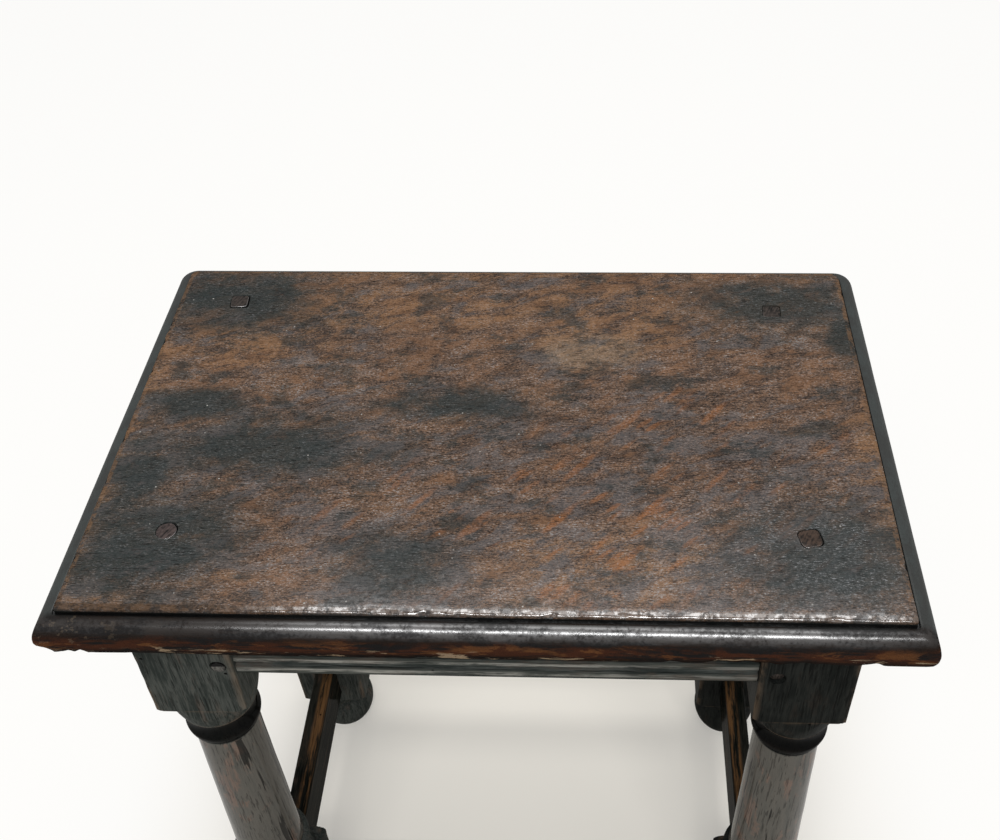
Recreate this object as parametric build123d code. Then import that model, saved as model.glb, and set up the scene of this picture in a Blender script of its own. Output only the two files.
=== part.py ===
from build123d import *
import os
from dataclasses import dataclass
from math import cos, radians, tan

# Joint stool in oak: a moulded seat board, pegged down to a joined frame of four turned legs,
# four frieze rails and four stretchers. Every joint is a mortise and tenon held by wooden pegs.
#
# Millimetres, +X to the right, +Y to the back, +Z up. The origin is on the floor, under the
# middle of the seat. The legs rake: seen from the side, their feet stand wider than their tops.

# --- Seat board ---------------------------------------------------------------------------
STOOL_HEIGHT = 500.0
SEAT_WIDTH = 450.0
SEAT_DEPTH = 298.0
SEAT_THICKNESS = 26.0

EDGE_MARGIN = 12.0         # from the raised field to the outermost line of the edge moulding
QUIRK_WIDTH = 1.3          # narrow sunk channel round the raised field
QUIRK_DEPTH = 5.0
THUMB_DROP = 4.0           # top of the thumb moulding below the field
THUMB_NOSE_DROP = 17.5     # outermost line of the thumb moulding below the field
UNDERCUT = 6.0             # how far the underside draws back from the nose
FRONT_CORNER_RADIUS = 4.0  # outer corners of the board in plan
BACK_CORNER_RADIUS = 11.0
FIELD_BACK_RADIUS = 4.5    # back corners of the raised field, worn round

# --- Frame --------------------------------------------------------------------------------
LEG_SECTION = 55.0        # square billet that each leg is turned from
LEG_X = 176.0             # leg axis from the middle, on both sides
FRONT_LEG_Y = -80.7       # leg axes at the top of the frame
BACK_LEG_Y = 92.0
LEG_RAKE = 2.4            # degrees, in the YZ plane

RAIL_HEIGHT = 79.0
RAIL_THICKNESS = 22.0
RAIL_SETBACK = 4.3        # rail's face behind the face of the leg block
RAIL_ARRIS = 2.6          # rounding of the rail's lower outer edge
BEAD_GROOVES = ((10.2, 2.2), (19.5, 1.7))   # height over the rail's lower edge, radius

STRETCHER_TOP = 114.5     # over the floor
STRETCHER_HEIGHT = 42.0
STRETCHER_THICKNESS = 16.0
STRETCHER_SETBACK = 19.5
STRETCHER_ARRIS = 3.0     # rounding of its upper arrises, worn by feet

# --- Turning, as drops down the leg's axis from the top of the frame -------------------------
UPPER_BLOCK_END = 112.0
UPPER_RIM = 134.5
RING_ARRIS = 149.0
SHAFT_TOP = 159.0
SHAFT_END = 309.0
BASE_RING_END = 322.0
LOWER_RIM = 326.5
LOWER_BLOCK_START = 350.0
LOWER_BLOCK_END = 415.0
FOOT_RIM = 429.0

LATHE_OFFSET = 2.0        # lathe centre outside the middle of the billet, in X
LATHE_CLEARANCE = 43.0    # radius past the billet's corners, where the block stays square
SHOULDER_RADIUS = 35.0    # where the rounded corners of a block run out into its flat shoulder
SHOULDER_DROP = 8.0       # height of that rounding at the lathe's clearance
TONGUE_RADIUS = 29.2      # where the turning leaves the block: the billet's flats make tongues
RIM_RADIUS = 24.0
COVE_RADIUS = 23.0
RING_RADIUS = 23.6
SHAFT_TOP_RADIUS = 20.3
SHAFT_END_RADIUS = 23.1
FOOT_NECK_RADIUS = 19.0
SOLE_RADIUS = 20.5
FILLET_WIDTH = 2.5        # plain flat band between two mouldings
FILLET_PROUD = 0.7

SHOULDER_SWELL = 1.2      # how far each rounded part stands out of its chord
TONGUE_SWELL = 0.8
RING_SWELL = 0.7
BASE_RING_SWELL = 3.6
FOOT_SWELL = 7.0
COVE_DEPTH = 1.6          # how far the cove is hollowed under its chord

# --- Joints -------------------------------------------------------------------------------
TENON_THICKNESS = 8.0
RAIL_TENON_SETBACK = 9.5  # tenon's outer cheek behind the face of the leg block
RAIL_TENON_LENGTH = 30.0
HAUNCH = 18.0             # top of a frieze tenon below the top of its rail
RAIL_TENON_RISE = 3.0     # bottom of a tenon over the lower edge of its rail or stretcher
STRETCHER_TENON_LENGTH = 26.0
STRETCHER_TENON_RISE = 5.0

JOINT_PEG_RADIUS = 4.0
JOINT_PEG_DEPTH = 38.0
JOINT_PEG_INSET = 8.0     # peg's axis from the inner edge of the leg block
FRIEZE_PEG_DROPS = {"upper": 30.0, "lower": 67.0}
SUNK_PEG = "frieze_peg_front_right_face_lower"   # worn peg that has drawn back into its hole
SUNK_DEPTH = 2.5
SUNK_SHIFT = (2.2, 1.3)   # its hole is bored this far outside and below the others' line

SEAT_PEG_DEPTH = 17.0     # into the leg under the seat
SEAT_PEG_SINK = 0.5       # peg's end below the field
SEAT_PEGS = {             # centre in plan, outline and width
    "front_left": (-168.8, -86.5, "round", 11.4),
    "front_right": (167.2, -86.2, "flatted", 12.0),
    "back_left": (-173.3, 103.8, "square", 11.6),
    "back_right": (165.9, 97.1, "square", 11.2),
}

# --- Worked out from the above ---------------------------------------------------------------
FRAME_TOP = STOOL_HEIGHT - SEAT_THICKNESS
LEG_HALF = LEG_SECTION / 2
LEG_GAP = 2 * (LEG_X - LEG_HALF)
RAKE_SLOPE = tan(radians(LEG_RAKE))
STRETCHER_DROP = FRAME_TOP - STRETCHER_TOP
SPARE = 20.0              # extra length that a trim or a cut takes off again

SIDES = {"left": -1, "right": 1}
ENDS = {"front": (-1, FRONT_LEG_Y), "back": (1, BACK_LEG_Y)}


def raked_frame(end):
    """Frame of the front or back legs: origin at their tops, +Z up along their raked axes."""
    sign, leg_y = ENDS[end]
    return Pos(0, leg_y, FRAME_TOP) * Rot(X=sign * LEG_RAKE)


def between_legs(depth):
    """Wedge of space between the front and the back legs, running the given depth into them."""
    inset = LEG_HALF / cos(radians(LEG_RAKE)) - depth
    spread = FRAME_TOP * RAKE_SLOPE
    front, back = FRONT_LEG_Y + inset, BACK_LEG_Y - inset
    outline = Polyline(
        (front - spread, 0), (back + spread, 0), (back, FRAME_TOP), (front, FRAME_TOP), close=True
    )
    return extrude(Plane.YZ * make_face(outline), SEAT_WIDTH / 2, both=True)


def level_slab():
    """Everything between the floor and the underside of the seat."""
    return Pos(0, 0, FRAME_TOP / 2) * Box(2 * SEAT_WIDTH, 2 * SEAT_DEPTH, FRAME_TOP)


# --- Seat -----------------------------------------------------------------------------------
def moulded_section(half):
    """Section across the board below its field: a flat top between two thumb mouldings.

    The thumb is a flat sweep above its nose and a quick turn below it.
    """
    reach = EDGE_MARGIN - QUIRK_WIDTH
    top = STOOL_HEIGHT - THUMB_DROP
    nose = STOOL_HEIGHT - THUMB_NOSE_DROP
    over = EllipticalCenterArc((half - reach, nose), reach, top - nose, start_angle=0)
    under = EllipticalCenterArc((half - UNDERCUT, nose), UNDERCUT, nose - FRAME_TOP, start_angle=270)
    rest = Polyline((half - reach, top), (0, top), (0, FRAME_TOP), (half - UNDERCUT, FRAME_TOP))
    side = make_face(Curve() + [over, under, rest])
    return side + mirror(side, Plane.YZ)


def seat_outline():
    """Plan of the board, with its corners rounded."""
    outline = Rectangle(SEAT_WIDTH, SEAT_DEPTH)
    outline = fillet(outline.vertices().group_by(Axis.Y)[0], FRONT_CORNER_RADIUS)
    return fillet(outline.vertices().group_by(Axis.Y)[-1], BACK_CORNER_RADIUS)


def seat_board():
    """Board with thumb mouldings mitred at its corners, a quirk inside them, and a raised field."""
    across = extrude(Plane.XZ * moulded_section(SEAT_WIDTH / 2), SEAT_DEPTH, both=True)
    along = extrude(Plane.YZ * moulded_section(SEAT_DEPTH / 2), SEAT_WIDTH, both=True)
    board = across & along & Pos(0, 0, FRAME_TOP) * extrude(seat_outline(), SEAT_THICKNESS)
    field_width, field_depth = SEAT_WIDTH - 2 * EDGE_MARGIN, SEAT_DEPTH - 2 * EDGE_MARGIN
    floor = Pos(0, 0, STOOL_HEIGHT - QUIRK_DEPTH)
    channel = Rectangle(field_width + 2 * QUIRK_WIDTH, field_depth + 2 * QUIRK_WIDTH)
    board -= floor * extrude(channel, QUIRK_DEPTH)
    field = Rectangle(field_width, field_depth)
    field = fillet(field.vertices().group_by(Axis.Y)[-1], FIELD_BACK_RADIUS)
    return board + floor * extrude(field, QUIRK_DEPTH)


def seat_peg(x, y, outline, width, top):
    """Riven peg through the seat into the leg under it, up to the given height."""
    if outline == "square":
        face = RectangleRounded(width, width, width / 5)
    else:
        face = Circle(width / 2)
    if outline == "flatted":
        face &= Pos(width * 0.09, 0) * Rectangle(width, width)
    length = top - (FRAME_TOP - SEAT_PEG_DEPTH)
    return Pos(x, y, top - length) * extrude(face, length)


# --- Legs -----------------------------------------------------------------------------------
def arc(start, end, swell):
    """Arc between two points of the outline, which stands out of its chord by the given swell."""
    chord = end - start
    return ThreePointArc(start, start + chord / 2 + chord.rotate(Axis.Z, 90).normalized() * swell, end)


def turning_outline():
    """Half outline of the turned leg, from above its top down to below its sole.

    Each station is a radius, a drop, and the swell of the line that leads down to it: 0 for a
    straight line, more for a rounded moulding, and less for a hollow.
    """
    collar = SHAFT_TOP_RADIUS + FILLET_PROUD
    plinth = SHAFT_END_RADIUS + FILLET_PROUD
    stations = (
        (0, -SPARE, 0),
        (LATHE_CLEARANCE, -SPARE, 0),
        (LATHE_CLEARANCE, UPPER_BLOCK_END - SHOULDER_DROP, 0),
        (SHOULDER_RADIUS, UPPER_BLOCK_END, SHOULDER_SWELL),
        (TONGUE_RADIUS, UPPER_BLOCK_END, 0),
        (RIM_RADIUS, UPPER_RIM, TONGUE_SWELL),
        (COVE_RADIUS, UPPER_RIM, 0),
        (RING_RADIUS, RING_ARRIS, -COVE_DEPTH),
        (collar, SHAFT_TOP - FILLET_WIDTH, RING_SWELL),
        (collar, SHAFT_TOP, 0),
        (SHAFT_TOP_RADIUS, SHAFT_TOP, 0),
        (SHAFT_END_RADIUS, SHAFT_END, 0),
        (plinth, SHAFT_END, 0),
        (plinth, SHAFT_END + FILLET_WIDTH, 0),
        (plinth, BASE_RING_END, BASE_RING_SWELL),
        (COVE_RADIUS, BASE_RING_END, 0),
        (COVE_RADIUS, LOWER_RIM, 0),
        (RIM_RADIUS, LOWER_RIM, 0),
        (TONGUE_RADIUS, LOWER_BLOCK_START, TONGUE_SWELL),
        (SHOULDER_RADIUS, LOWER_BLOCK_START, 0),
        (LATHE_CLEARANCE, LOWER_BLOCK_START + SHOULDER_DROP, SHOULDER_SWELL),
        (LATHE_CLEARANCE, LOWER_BLOCK_END - SHOULDER_DROP, 0),
        (SHOULDER_RADIUS, LOWER_BLOCK_END, SHOULDER_SWELL),
        (TONGUE_RADIUS, LOWER_BLOCK_END, 0),
        (RIM_RADIUS, FOOT_RIM, TONGUE_SWELL),
        (FOOT_NECK_RADIUS, FOOT_RIM, 0),
        (FOOT_NECK_RADIUS, FOOT_RIM + FILLET_WIDTH, 0),
        (SOLE_RADIUS, FRAME_TOP, FOOT_SWELL),
        (SOLE_RADIUS, FRAME_TOP + SPARE, 0),
        (0, FRAME_TOP + SPARE, 0),
    )
    points = [Vector(radius, -drop) for radius, drop, _ in stations]
    lines = [Line(points[-1], points[0])]
    for start, end, (_, _, swell) in zip(points, points[1:], stations[1:]):
        lines.append(arc(start, end, swell) if swell else Line(start, end))
    return Curve() + lines


def turned_leg():
    """Leg for the right side, about its billet's axis: what is left of the billet in the turning."""
    turning = Pos(LATHE_OFFSET, 0, 0) * revolve(Plane.XZ * make_face(turning_outline()), Axis.Z)
    billet_length = FRAME_TOP + 4 * SPARE
    billet = Pos(0, 0, -FRAME_TOP / 2) * Box(LEG_SECTION, LEG_SECTION, billet_length)
    return turning & billet


# --- Rails and stretchers -------------------------------------------------------------------
@dataclass(frozen=True)
class Member:
    """What the four frieze rails share, or the four stretchers.

    The sections lie in the (outward, up) plane, with the origin at the member's lower outer arris.
    """

    section: Sketch
    tenon: Sketch
    setback: float         # outer face behind the face of the leg block
    drop: float            # lower edge below the top of the frame
    tenon_length: float


def tenon_section(cheek, low, high):
    """Tenon between two heights, from its outer cheek inwards."""
    return Pos(cheek - TENON_THICKNESS / 2, (low + high) / 2) * Rectangle(TENON_THICKNESS, high - low)


def frieze_rail():
    """Frieze rail, with beads run along its lower edge and a haunch over its tenons."""
    section = Pos(-RAIL_THICKNESS / 2, RAIL_HEIGHT / 2) * Rectangle(RAIL_THICKNESS, RAIL_HEIGHT)
    section = fillet(section.vertices().group_by(Axis.Y)[0].sort_by(Axis.X)[-1], RAIL_ARRIS)
    for height, radius in BEAD_GROOVES:
        section -= Pos(0, height) * Circle(radius)
    cheek = RAIL_SETBACK - RAIL_TENON_SETBACK
    tenon = tenon_section(cheek, RAIL_TENON_RISE, RAIL_HEIGHT - HAUNCH)
    return Member(section, tenon, RAIL_SETBACK, RAIL_HEIGHT, RAIL_TENON_LENGTH)


def stretcher():
    """Stretcher with worn upper arrises and bare-faced tenons: flush with its outer face."""
    height = STRETCHER_HEIGHT
    section = Pos(-STRETCHER_THICKNESS / 2, height / 2) * Rectangle(STRETCHER_THICKNESS, height)
    section = fillet(section.vertices().group_by(Axis.Y)[-1], STRETCHER_ARRIS)
    tenon = tenon_section(0, STRETCHER_TENON_RISE, height - STRETCHER_TENON_RISE)
    drop = STRETCHER_DROP + height
    return Member(section, tenon, STRETCHER_SETBACK, drop, STRETCHER_TENON_LENGTH)


def cross_member(end, member):
    """Front or back member, square to the raked legs: its body, and the bar of its two tenons."""
    sign = ENDS[end][0]
    plane = Plane((0, 0, 0), x_dir=(0, sign, 0), z_dir=(sign, 0, 0))
    place = raked_frame(end) * Pos(0, sign * (LEG_HALF - member.setback), -member.drop)
    body = place * extrude(plane * member.section, LEG_GAP / 2, both=True)
    bar = place * extrude(plane * member.tenon, LEG_GAP / 2 + member.tenon_length, both=True)
    return body & level_slab(), bar


def side_member(side, member):
    """Left or right member: its body, with shoulders that follow the rake, and its tenon bar."""
    sign = SIDES[side]
    plane = Plane((0, 0, 0), x_dir=(sign, 0, 0), z_dir=(0, -sign, 0))
    place = Pos(sign * (LEG_X + LEG_HALF - member.setback), 0, FRAME_TOP - member.drop)
    body = place * extrude(plane * member.section, SEAT_DEPTH / 2, both=True)
    bar = place * extrude(plane * member.tenon, SEAT_DEPTH / 2, both=True)
    return body & between_legs(0), bar & between_legs(member.tenon_length)


def members():
    """Body and tenon bar of every frieze rail and every stretcher, by node name."""
    made = {}
    for kind, member in (("frieze_rail", frieze_rail()), ("stretcher", stretcher())):
        for end in ENDS:
            made[f"{kind}_{end}"] = cross_member(end, member)
        for side in SIDES:
            made[f"{kind}_{side}"] = side_member(side, member)
    return made


# --- Joint pegs -----------------------------------------------------------------------------
def joint_peg(end, side, face, inset, drop, sunk):
    """Peg driven square into a leg block, through the tenon of the end or the side member."""
    end_sign, side_sign = ENDS[end][0], SIDES[side]
    offset = LEG_HALF - inset
    length = JOINT_PEG_DEPTH - sunk
    peg = Pos(0, 0, LEG_HALF - sunk - length / 2) * Cylinder(JOINT_PEG_RADIUS, length)
    if face == "face":
        turned = Pos(-side_sign * offset, 0, -drop) * Rot(X=-90 * end_sign) * peg
    else:
        turned = Pos(0, -end_sign * offset, -drop) * Rot(Y=90 * side_sign) * peg
    return raked_frame(end) * Pos(side_sign * LEG_X, 0, 0) * turned


def joint_pegs(end, side, sunk_depth):
    """The six pegs of one leg, by node name: two in each frieze tenon, one in each stretcher's."""
    pegs = {}
    for face in ("face", "side"):
        drops = {
            f"frieze_peg_{end}_{side}_{face}_{level}": drop
            for level, drop in FRIEZE_PEG_DROPS.items()
        }
        drops[f"stretcher_peg_{end}_{side}_{face}"] = STRETCHER_DROP + STRETCHER_HEIGHT / 2
        for name, drop in drops.items():
            inset, sunk = JOINT_PEG_INSET, 0
            if name == SUNK_PEG:
                inset, drop, sunk = inset + SUNK_SHIFT[0], drop + SUNK_SHIFT[1], sunk_depth
            pegs[name] = joint_peg(end, side, face, inset, drop, sunk)
    return pegs


# --- Assembly -------------------------------------------------------------------------------
def build():
    """Every piece of the stool, by node name."""
    frame_members = members()
    leg_blanks = {"right": turned_leg(), "left": mirror(turned_leg(), Plane.YZ)}
    pieces = {}
    holes = []
    for end in ENDS:
        for side, sign in SIDES.items():
            bored = list(joint_pegs(end, side, 0).values())
            pieces.update(joint_pegs(end, side, SUNK_DEPTH))
            leg = raked_frame(end) * Pos(sign * LEG_X, 0, 0) * leg_blanks[side] & level_slab()
            for kind in ("frieze_rail", "stretcher"):
                for way in (end, side):
                    leg -= frame_members[f"{kind}_{way}"][1]
            for hole in bored:
                leg -= hole
            x, y, outline, width = SEAT_PEGS[f"{end}_{side}"]
            leg -= seat_peg(x, y, outline, width, STOOL_HEIGHT)
            pieces[f"leg_{end}_{side}"] = leg
            holes += bored
    for name, (body, bar) in frame_members.items():
        member = body + bar
        for hole in holes:
            member -= hole
        pieces[name] = member
    seat = seat_board()
    for corner, (x, y, outline, width) in SEAT_PEGS.items():
        seat -= seat_peg(x, y, outline, width, STOOL_HEIGHT)
        pieces[f"seat_peg_{corner}"] = seat_peg(x, y, outline, width, STOOL_HEIGHT - SEAT_PEG_SINK)
    pieces["seat_top"] = seat
    return pieces


os.makedirs("parts", exist_ok=True)
for node, shape in build().items():
    export_step(shape, f"parts/{node}.step")
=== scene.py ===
import logging
import math
from dataclasses import dataclass, field
from enum import Enum

import bmesh
import bpy
from mathutils import Matrix, Vector, noise


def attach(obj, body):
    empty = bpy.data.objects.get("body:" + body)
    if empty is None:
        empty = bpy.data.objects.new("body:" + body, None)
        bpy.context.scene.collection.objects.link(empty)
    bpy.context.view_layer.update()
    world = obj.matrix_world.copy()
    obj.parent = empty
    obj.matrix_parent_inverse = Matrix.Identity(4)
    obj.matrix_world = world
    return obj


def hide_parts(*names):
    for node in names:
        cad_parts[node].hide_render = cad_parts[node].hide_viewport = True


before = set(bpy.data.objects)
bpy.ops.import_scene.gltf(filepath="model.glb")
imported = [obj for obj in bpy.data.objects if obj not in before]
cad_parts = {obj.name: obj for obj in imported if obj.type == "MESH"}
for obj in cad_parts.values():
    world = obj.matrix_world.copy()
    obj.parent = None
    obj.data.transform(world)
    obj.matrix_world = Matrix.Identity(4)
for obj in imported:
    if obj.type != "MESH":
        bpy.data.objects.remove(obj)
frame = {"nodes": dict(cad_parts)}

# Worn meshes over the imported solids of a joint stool, their finishes, and the studio round them.
# Metres, +X to the right, +Y to the back, +Z up.
LOG = logging.getLogger("joint_stool")
MM = 0.001
Colour = tuple[float, float, float]
Triple = tuple[float, float, float]


class Grain(Enum):
    """Which way the grain of a piece runs."""

    ACROSS = 0
    DEEP = 1
    UPRIGHT = 2


@dataclass(frozen=True)
class Place:
    """A soft-edged place on the seat: its middle and its half sizes, in metres."""

    x: float
    y: float
    half_width: float
    half_depth: float


@dataclass(frozen=True)
class Coat:
    """What is even all over a finish.

    It holds the height of the relief in metres, and the roughness and index of refraction of the wax.
    """

    relief_height: float
    rough: float
    ior: float


# --- Shader expressions -----------------------------------------------------------------------
class Signal:
    """A number that varies over a surface. Arithmetic on it adds Math nodes."""

    def __init__(self, graph: "Graph", socket: bpy.types.NodeSocket) -> None:
        """Wraps an output of the graph that gives a number."""
        self.graph = graph
        self.socket = socket

    def maths(self, operation: str, *values: "Signal | float") -> "Signal":
        """Adds one Math node, by Blender's name of its operation, and gives its result."""
        made = self.graph.node("ShaderNodeMath", {"operation": operation}, dict(enumerate(values)))
        return Signal(self.graph, made.outputs[0])

    def __add__(self, other: "Signal | float") -> "Signal":
        """Adds."""
        return self.maths("ADD", self, other)

    __radd__ = __add__

    def __sub__(self, other: "Signal | float") -> "Signal":
        """Takes away."""
        return self.maths("SUBTRACT", self, other)

    def __rsub__(self, other: float) -> "Signal":
        """Is taken away."""
        return self.maths("SUBTRACT", other, self)

    def __mul__(self, other: "Signal | float") -> "Signal":
        """Multiplies."""
        return self.maths("MULTIPLY", self, other)

    __rmul__ = __mul__

    def __abs__(self) -> "Signal":
        """Drops the sign."""
        return self.maths("ABSOLUTE", self)

    def most(self, other: "Signal | float") -> "Signal":
        """The larger of the two."""
        return self.maths("MAXIMUM", self, other)

    def step(self, low: float, high: float) -> "Signal":
        """Rises smoothly from 0 at low to 1 at high, or falls where high is the lower one.

        Args:
            low: Value that gives 0.
            high: Value that gives 1.

        Returns:
            The eased step.
        """
        made = self.graph.node(
            "ShaderNodeMapRange",
            {"interpolation_type": "SMOOTHSTEP"},
            {"Value": self, "From Min": low, "From Max": high},
        )
        return Signal(self.graph, made.outputs[0])


class Graph:
    """The nodes of one material, or of the world."""

    def __init__(self, name: str, world: bool = False) -> None:
        """Starts a material or a world with an empty graph.

        Args:
            name: Its name.
            world: Whether it is the world.
        """
        self.owner = (bpy.data.worlds if world else bpy.data.materials).new(name)
        self.owner.use_nodes = True
        self.tree = self.owner.node_tree
        self.tree.nodes.clear()
        self.coordinates = self.node("ShaderNodeTexCoord").outputs["Object"]

    def node(self, kind: str, settings: dict | None = None, sockets: dict | None = None) -> bpy.types.Node:
        """Adds a node.

        Args:
            kind: Blender's type of the node.
            settings: Its properties, which are set first; "stops" are a ramp's stops.
            sockets: Values or links of its inputs, by name or by number.

        Returns:
            The node.
        """
        made = self.tree.nodes.new(kind)
        for name, value in (settings or {}).items():
            if name == "stops":
                self.set_stops(made.color_ramp, value)
            else:
                setattr(made, name, value)
        for key, value in (sockets or {}).items():
            self.feed(made.inputs[key], value)
        return made

    @staticmethod
    def set_stops(ramp: bpy.types.ColorRamp, stops: tuple[tuple[float, Colour], ...]) -> None:
        """Gives a ramp its stops.

        Args:
            ramp: The ramp, which has two stops of its own.
            stops: Position and colour of each stop.
        """
        while len(ramp.elements) < len(stops):
            ramp.elements.new(1.0)
        for element, (position, colour) in zip(ramp.elements, stops):
            element.position = position
            element.color = (*colour, 1.0)

    def feed(self, socket: bpy.types.NodeSocket, value: object) -> None:
        """Links or sets one input.

        Args:
            socket: The input.
            value: A signal, a socket, a colour, a vector or a number.
        """
        if isinstance(value, Signal):
            value = value.socket
        if isinstance(value, bpy.types.NodeSocket):
            self.tree.links.new(value, socket)
        elif socket.type == "RGBA":
            socket.default_value = (*value, 1.0)
        else:
            socket.default_value = value

    def axes(self) -> tuple[Signal, Signal, Signal]:
        """Object coordinates as three signals."""
        parts = self.node("ShaderNodeSeparateXYZ", None, {0: self.coordinates}).outputs
        return Signal(self, parts[0]), Signal(self, parts[1]), Signal(self, parts[2])

    def turned(self, scale: Triple, turn: float = 0.0, shift: Triple = (0, 0, 0)) -> bpy.types.NodeSocket:
        """Object coordinates turned about Z, then stretched.

        Args:
            scale: How many features fit in a metre, along each axis.
            turn: Degrees about Z.
            shift: Moves the pattern, in metres.

        Returns:
            The coordinates.
        """
        spun = self.node("ShaderNodeMapping", None, {
            "Vector": self.coordinates, "Location": shift, "Rotation": (0, 0, math.radians(turn)),
        })
        return self.node("ShaderNodeMapping", None, {"Vector": spun.outputs[0], "Scale": scale}).outputs[0]

    def cloud(self, scale: Triple, detail: float = 3.0, rough: float = 0.55,
              warp: float = 0.0, turn: float = 0.0, shift: Triple = (0, 0, 0)) -> Signal:
        """Soft noise, stretched as asked.

        Args:
            scale: Features in a metre, along each axis.
            detail: Octaves of finer noise.
            rough: Strength of each octave against the last.
            warp: How far the noise distorts itself.
            turn: Degrees about Z.
            shift: Moves the pattern, in metres.

        Returns:
            About 0 to 1, mostly near 0.5.
        """
        made = self.node("ShaderNodeTexNoise", None, {
            "Vector": self.turned(scale, turn, shift), "Scale": 1.0, "Detail": detail,
            "Roughness": rough, "Distortion": warp,
        })
        return Signal(self, made.outputs["Fac"])

    def spots(self, scale: Triple, share: float, size: float, turn: float = 0.0,
              shift: Triple = (0, 0, 0)) -> Signal:
        """Scattered separate marks, one at most in each cell.

        Args:
            scale: Cells in a metre, along each axis.
            share: Share of the cells that carry a mark.
            size: Reach of a mark, in cells.
            turn: Degrees about Z.
            shift: Moves the pattern, in metres.

        Returns:
            1 on a mark, 0 off it.
        """
        made = self.node("ShaderNodeTexVoronoi", {"voronoi_dimensions": "3D"}, {
            "Vector": self.turned(scale, turn, shift), "Scale": 1.0, "Randomness": 0.9,
        })
        luck = self.node("ShaderNodeSeparateColor", None, {0: made.outputs["Color"]}).outputs
        near = Signal(self, made.outputs["Distance"]).step(size, size * 0.45)
        return near * Signal(self, luck[0]).step(share + 0.02, share)

    def patch(self, place: Place, warp: Signal) -> Signal:
        """Soft-edged patch on the top, with its edge broken up.

        Args:
            place: Where it is.
            warp: Noise about 0.5 that breaks the edge.

        Returns:
            1 in the middle, 0 outside.
        """
        local = self.node("ShaderNodeMapping", {"vector_type": "POINT"}, {
            "Vector": self.coordinates,
            "Location": (-place.x / place.half_width, -place.y / place.half_depth, 0),
            "Scale": (1 / place.half_width, 1 / place.half_depth, 0),
        })
        length = self.node("ShaderNodeVectorMath", {"operation": "LENGTH"}, {0: local.outputs[0]})
        return (Signal(self, length.outputs["Value"]) + 2.8 * (warp - 0.5)).step(1.30, 0.30)

    def patched(self, mask: Signal, places: tuple[Place, ...], warp: Signal) -> Signal:
        """Adds patches to a mask.

        Args:
            mask: The mask.
            places: Where the patches are.
            warp: Noise about 0.5 that breaks their edges.

        Returns:
            The larger of the mask and the patches, at each point.
        """
        for place in places:
            mask = mask.most(self.patch(place, warp))
        return mask

    def ramp(self, value: Signal, stops: tuple[tuple[float, Colour], ...]) -> bpy.types.NodeSocket:
        """Colour that changes with a value, from stops of a value and a colour."""
        return self.node("ShaderNodeValToRGB", {"stops": stops}, {0: value}).outputs["Color"]

    def mix(self, first: object, second: object, share: "Signal | float") -> bpy.types.NodeSocket:
        """Colour between two, with so much of the second."""
        made = self.node("ShaderNodeMix", {"data_type": "RGBA"}, {0: share, 6: first, 7: second})
        return made.outputs[2]

    def seen(self) -> Signal:
        """1 for what the camera or a reflection sees, 0 for plain light."""
        paths = self.node("ShaderNodeLightPath").outputs
        camera, glossy, clear = (
            Signal(self, paths[f"Is {kind} Ray"]) for kind in ("Camera", "Glossy", "Transmission")
        )
        return camera.most(glossy).most(clear)

    def mark(self, name: str) -> Signal:
        """A value that the piece's mesh carries under a name."""
        return Signal(self, self.node("ShaderNodeAttribute", {"attribute_name": name}).outputs["Fac"])

    def finish(self, colour: bpy.types.NodeSocket, rough: Signal, relief: Signal, wax: Signal,
               coat: Coat) -> bpy.types.Material:
        """Closes the graph with the surface.

        Args:
            colour: The base colour.
            rough: The roughness.
            relief: Height of the surface's relief, as a share.
            wax: Weight of the wax over the wood.
            coat: Height of the relief, and kind of wax.

        Returns:
            The material.
        """
        bump = self.node("ShaderNodeBump", None, {
            "Strength": 1.0, "Distance": coat.relief_height, "Height": relief,
        })
        surface = self.node("ShaderNodeBsdfPrincipled", None, {
            "Base Color": colour, "Roughness": rough, "Normal": bump.outputs[0],
            "Specular IOR Level": 0.0, "Coat Weight": wax, "Coat Roughness": coat.rough,
            "Coat IOR": coat.ior,
        })
        self.node("ShaderNodeOutputMaterial", None, {"Surface": surface.outputs[0]})
        return self.owner


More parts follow.
